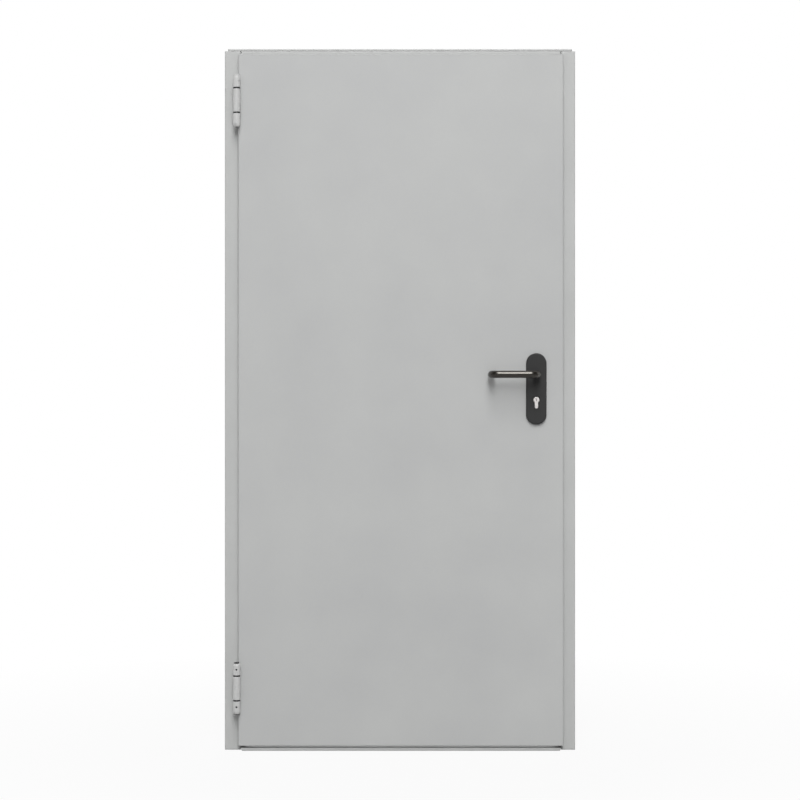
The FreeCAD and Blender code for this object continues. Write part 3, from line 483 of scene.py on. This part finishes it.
frame_beads = []
leaf_beads = []
for hinge in ("top_hinge", "bottom_hinge"):
    for knuckle in ("upper_knuckle", "lower_knuckle"):
        low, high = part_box(f"{hinge}_{knuckle}")
        for x in FLAT_SIDES_X:
            frame_beads.append([(x, jamb_face_y, z) for z in (low.z + WELD_END, high.z - WELD_END)])
    low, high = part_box(f"{hinge}_leaf_knuckle")
    for z in (low.z, high.z):
        leaf_beads.append([(leaf_edge_x, y, z) for y in LEAF_WELD_Y])


def beads(name, lines, slot, body):
    """Painted-over weld beads; each line is its two end points."""
    points = [point for line in lines for point in line]
    edges = [(2 * i, 2 * i + 1) for i in range(len(lines))]
    tree = weld_tree(f"{name}_ripples", finishes[slot])
    grow(name, points, edges, tree, WELD, body)


beads("frame_hinge_welds", frame_beads, slot="frame_paint", body="frame")
beads("leaf_hinge_welds", leaf_beads, slot="leaf_paint", body="leaf")


# Studio: pale floor, white surroundings, soft lights
FRAME_CENTRE = Vector((0.4637, 0.0, 1.0))


def pale_floor():
    """Matt white floor: near white to the camera, and still darker where the door shades it.
    Reflections see it white behind the door only."""
    half = 400.0
    below = -0.2 * MM
    fade_behind = 0.4
    near = 0.7
    far = 2.2
    near_white = 0.93
    corners = [(-half, -half, below), (half, -half, below), (half, half, below), (-half, half, below)]
    mesh = bpy.data.meshes.new("floor")
    mesh.from_pydata(corners, [], [(0, 1, 2, 3)])
    floor = bpy.data.objects.new("floor", mesh)
    bpy.context.scene.collection.objects.link(floor)
    material = bpy.data.materials.new("matt_white_floor")
    material.use_nodes = True
    tree = material.node_tree
    tree.nodes.clear()
    path = add(tree, "ShaderNodeLightPath").outputs
    place = add(tree, "ShaderNodeTexCoord").outputs["Object"]
    depth = add(tree, "ShaderNodeSeparateXYZ", {"Vector": place}).outputs["Y"]
    behind = add(tree, "ShaderNodeMapRange", {"Value": depth, "From Max": fade_behind}).outputs["Result"]
    inputs = {0: path["Is Glossy Ray"], 1: behind}
    mirrored = add(tree, "ShaderNodeMath", inputs, operation="MULTIPLY").outputs["Value"]
    inputs = {0: path["Is Camera Ray"], 1: path["Is Transmission Ray"]}
    direct = add(tree, "ShaderNodeMath", inputs, operation="MAXIMUM").outputs["Value"]
    inputs = {0: direct, 1: mirrored}
    seen = add(tree, "ShaderNodeMath", inputs, operation="MAXIMUM").outputs["Value"]
    inputs = {0: place, 1: (FRAME_CENTRE.x, 0.0, below)}
    away = add(tree, "ShaderNodeVectorMath", inputs, operation="DISTANCE").outputs["Value"]
    inputs = {"Value": away, "From Min": near, "From Max": far, "To Min": near_white, "To Max": 1.0}
    white = add(tree, "ShaderNodeMapRange", inputs).outputs["Result"]
    share = add(tree, "ShaderNodeMath", {0: seen, 1: white}, operation="MULTIPLY").outputs["Value"]
    matt = add(tree, "ShaderNodeBsdfDiffuse", {"Color": linear("#ACACAC")}).outputs["BSDF"]
    inputs = {"Color": linear("#FFFFFF"), "Strength": 1.0}
    glow = add(tree, "ShaderNodeEmission", inputs).outputs["Emission"]
    mixed = add(tree, "ShaderNodeMixShader", {0: share, 1: matt, 2: glow}).outputs["Shader"]
    add(tree, "ShaderNodeOutputMaterial", {"Surface": mixed})
    mesh.materials.append(material)


def white_world(fill, front):
    """White to the camera; as light a softer grey of strength fill. Reflections see the white
    backdrop behind the door and a dimmer room, of strength front, before and beside it."""
    room_ends = 0.5
    backdrop_starts = 0.95
    world = bpy.data.worlds.new("white_surroundings")
    bpy.context.scene.world = world
    world.use_nodes = True
    tree = world.node_tree
    tree.nodes.clear()
    path = add(tree, "ShaderNodeLightPath").outputs
    direction = add(tree, "ShaderNodeTexCoord").outputs["Generated"]
    depth = add(tree, "ShaderNodeSeparateXYZ", {"Vector": direction}).outputs["Y"]
    inputs = {
        "Value": depth,
        "From Min": room_ends,
        "From Max": backdrop_starts,
        "To Min": front,
        "To Max": 1.0,
    }
    backdrop = add(tree, "ShaderNodeMapRange", inputs).outputs["Result"]
    inputs = {0: path["Is Glossy Ray"], 1: path["Is Transmission Ray"]}
    mirrored = add(tree, "ShaderNodeMath", inputs, operation="MAXIMUM").outputs["Value"]
    inputs = {"Value": mirrored, "To Min": fill, "To Max": backdrop}
    cast = add(tree, "ShaderNodeMapRange", inputs).outputs["Result"]
    inputs = {0: cast, 1: path["Is Camera Ray"]}
    level = add(tree, "ShaderNodeMath", inputs, operation="MAXIMUM").outputs["Value"]
    inputs = {"Color": linear("#FFFFFF"), "Strength": level}
    light = add(tree, "ShaderNodeBackground", inputs).outputs["Background"]
    add(tree, "ShaderNodeOutputWorld", {"Surface": light})


def soft_light(name, azimuth, elevation, distance, width, height, watts):
    """Area light aimed at the middle of the door; azimuth 0 is straight in front."""
    data = bpy.data.lights.new(name, "AREA")
    data.shape = "RECTANGLE"
    data.size = width
    data.size_y = height
    data.energy = watts
    lamp = bpy.data.objects.new(name, data)
    lamp.visible_camera = False
    bpy.context.scene.collection.objects.link(lamp)
    a = math.radians(azimuth)
    e = math.radians(elevation)
    toward = Vector((math.sin(a) * math.cos(e), -math.cos(a) * math.cos(e), math.sin(e)))
    lamp.location = FRAME_CENTRE + toward * distance
    lamp.rotation_euler = (-toward).to_track_quat("-Z", "Y").to_euler()


def front_camera():
    """Straight in front of the frame, at the photo's eye height."""
    distance = 5.5
    eye_height = 0.9983
    view_width = 2.2842
    data = bpy.data.cameras.new("front_camera")
    data.sensor_width = 36.0
    data.lens = data.sensor_width * distance / view_width
    camera = bpy.data.objects.new("front_camera", data)
    bpy.context.scene.collection.objects.link(camera)
    camera.location = (FRAME_CENTRE.x, jamb_face_y - distance, eye_height)
    camera.rotation_euler = (math.radians(90), 0, 0)
    bpy.context.scene.camera = camera


pale_floor()
white_world(fill=0.4, front=0.1)
soft_light("key_softbox", azimuth=2, elevation=45, distance=14.0, width=4.6, height=12.5, watts=1650)
soft_light("rear_panel", azimuth=180, elevation=15, distance=6.0, width=4.0, height=4.0, watts=215)
soft_light("right_panel", azimuth=97, elevation=20, distance=6.0, width=3.0, height=4.0, watts=35)
soft_light("left_panel", azimuth=-97, elevation=20, distance=6.0, width=3.0, height=4.0, watts=35)
front_camera()

bpy.context.scene.view_settings.view_transform = "Standard"
